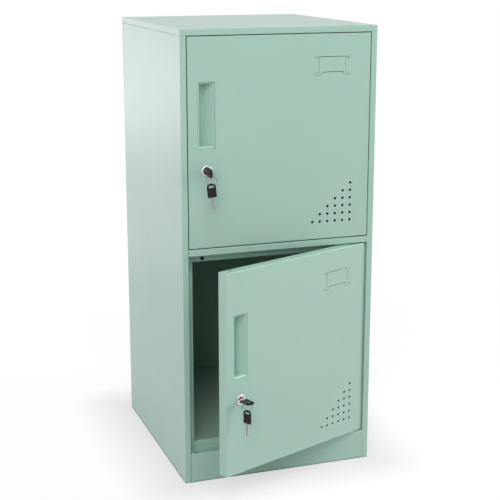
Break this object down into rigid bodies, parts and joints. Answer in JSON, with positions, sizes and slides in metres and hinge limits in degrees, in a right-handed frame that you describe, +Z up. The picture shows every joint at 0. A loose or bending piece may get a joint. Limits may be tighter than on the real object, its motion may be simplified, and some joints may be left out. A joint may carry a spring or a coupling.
{
  "type": "locker",
  "caption": "Free-standing sheet-steel locker with stacked compartments behind hinged pan doors with recessed handles, cam locks, keys on rings and vent holes.",
  "frame": {"origin": "on the floor, under the middle of the whole object's box as it stands, with the lower door open", "axes": "+Z up, +X to the right of someone facing the doors, -Y out of the doors"},
  "size_m": [0.4, 0.6053, 0.9],
  "materials": {
    "mint_paint": "satin mint-green powder coat",
    "mint_paint_inside": "satin mint-green powder coat, inside",
    "zinc_steel": "bright zinc-plated steel",
    "chrome": "polished chrome plate",
    "nickel_key": "nickel-plated key blank",
    "black_plastic": "moulded black plastic",
    "black_nylon": "black nylon",
    "black_rubber": "matt black rubber"
  },
  "bodies": {
    "cabinet": {"left_side_panel": "mint_paint", "right_side_panel": "mint_paint", "back_panel": "mint_paint_inside", "top_cap": "mint_paint", "header_rail": "mint_paint", "middle_rail": "mint_paint", "middle_shelf": "mint_paint_inside", "bottom_floor": "mint_paint_inside", "plinth_panel": "mint_paint", "lower_bottom_bush": "black_nylon", "lower_top_bush": "black_nylon", "upper_bottom_bush": "black_nylon", "upper_top_bush": "black_nylon", "lower_left_buffer": "black_rubber", "lower_right_buffer": "black_rubber", "upper_left_buffer": "black_rubber", "upper_right_buffer": "black_rubber"},
    "upper_door": {"upper_door_skin": "mint_paint", "upper_handle_cup": "mint_paint", "upper_door_stiffener": "mint_paint_inside", "upper_top_hinge_pin": "zinc_steel", "upper_bottom_hinge_pin": "zinc_steel", "upper_lock_housing": "chrome", "upper_lock_nut": "zinc_steel"},
    "upper_lock": {"upper_lock_plug": "chrome", "upper_lock_cam": "zinc_steel", "upper_cam_screw": "zinc_steel"},
    "upper_key": {"upper_key_blade": "nickel_key", "upper_key_head": "black_plastic"},
    "upper_ring": {"upper_key_ring": "zinc_steel"},
    "upper_spare_key": {"upper_spare_key_blade": "nickel_key", "upper_spare_key_head": "black_plastic"},
    "lower_door": {"lower_door_skin": "mint_paint", "lower_handle_cup": "mint_paint", "lower_door_stiffener": "mint_paint_inside", "lower_top_hinge_pin": "zinc_steel", "lower_bottom_hinge_pin": "zinc_steel", "lower_lock_housing": "chrome", "lower_lock_nut": "zinc_steel"},
    "lower_lock": {"lower_lock_plug": "chrome", "lower_lock_cam": "zinc_steel", "lower_cam_screw": "zinc_steel"},
    "lower_key": {"lower_key_blade": "nickel_key", "lower_key_head": "black_plastic"},
    "lower_ring": {"lower_key_ring": "zinc_steel"},
    "lower_spare_key": {"lower_spare_key_blade": "nickel_key", "lower_spare_key_head": "black_plastic"}
  },
  "joints": [
    {"name": "upper_door_hinge", "type": "hinge", "parent": "cabinet", "child": "upper_door", "pos_m": [0.175, -0.14231, 0.483], "axis": [0, 0, 1], "range_deg": [0, 115]},
    {"name": "upper_lock_turn", "type": "hinge", "parent": "upper_door", "child": "upper_lock", "pos_m": [-0.1497, -0.14781, 0.633], "axis": [0, 1, 0], "range_deg": [-90, 90]},
    {"name": "upper_key_slide", "type": "slide", "parent": "upper_lock", "child": "upper_key", "axis": [0, -1, 0], "range_m": [0, 0.028]},
    {"name": "upper_ring_swing", "type": "hinge", "parent": "upper_key", "child": "upper_ring", "pos_m": [-0.1497, -0.17481, 0.6296], "axis": [0, -1, 0], "range_deg": [-8, 8]},
    {"name": "upper_spare_key_swing", "type": "hinge", "parent": "upper_ring", "child": "upper_spare_key", "pos_m": [-0.1497, -0.17481, 0.6092], "axis": [0.7986, -0.6018, 0], "range_deg": [-12, 12]},
    {"name": "lower_door_hinge", "type": "hinge", "parent": "cabinet", "child": "lower_door", "pos_m": [0.175, -0.14231, 0.063], "axis": [0, 0, 1], "range_deg": [-22, 93]},
    {"name": "lower_lock_turn", "type": "hinge", "parent": "lower_door", "child": "lower_lock", "pos_m": [-0.124, -0.26904, 0.213], "axis": [-0.3746, 0.9272, 0], "range_deg": [0, 180]},
    {"name": "lower_key_slide", "type": "slide", "parent": "lower_lock", "child": "lower_key", "axis": [0.3746, -0.9272, 0], "range_m": [0, 0.028]},
    {"name": "lower_ring_swing", "type": "hinge", "parent": "lower_key", "child": "lower_ring", "pos_m": [-0.11986, -0.29477, 0.2161], "axis": [0.3746, -0.9272, 0], "range_deg": [-8, 8]},
    {"name": "lower_spare_key_swing", "type": "hinge", "parent": "lower_ring", "child": "lower_spare_key", "pos_m": [-0.11986, -0.29477, 0.1957], "axis": [0.9903, 0.1392, 0], "range_deg": [-12, 12]}
  ]
}
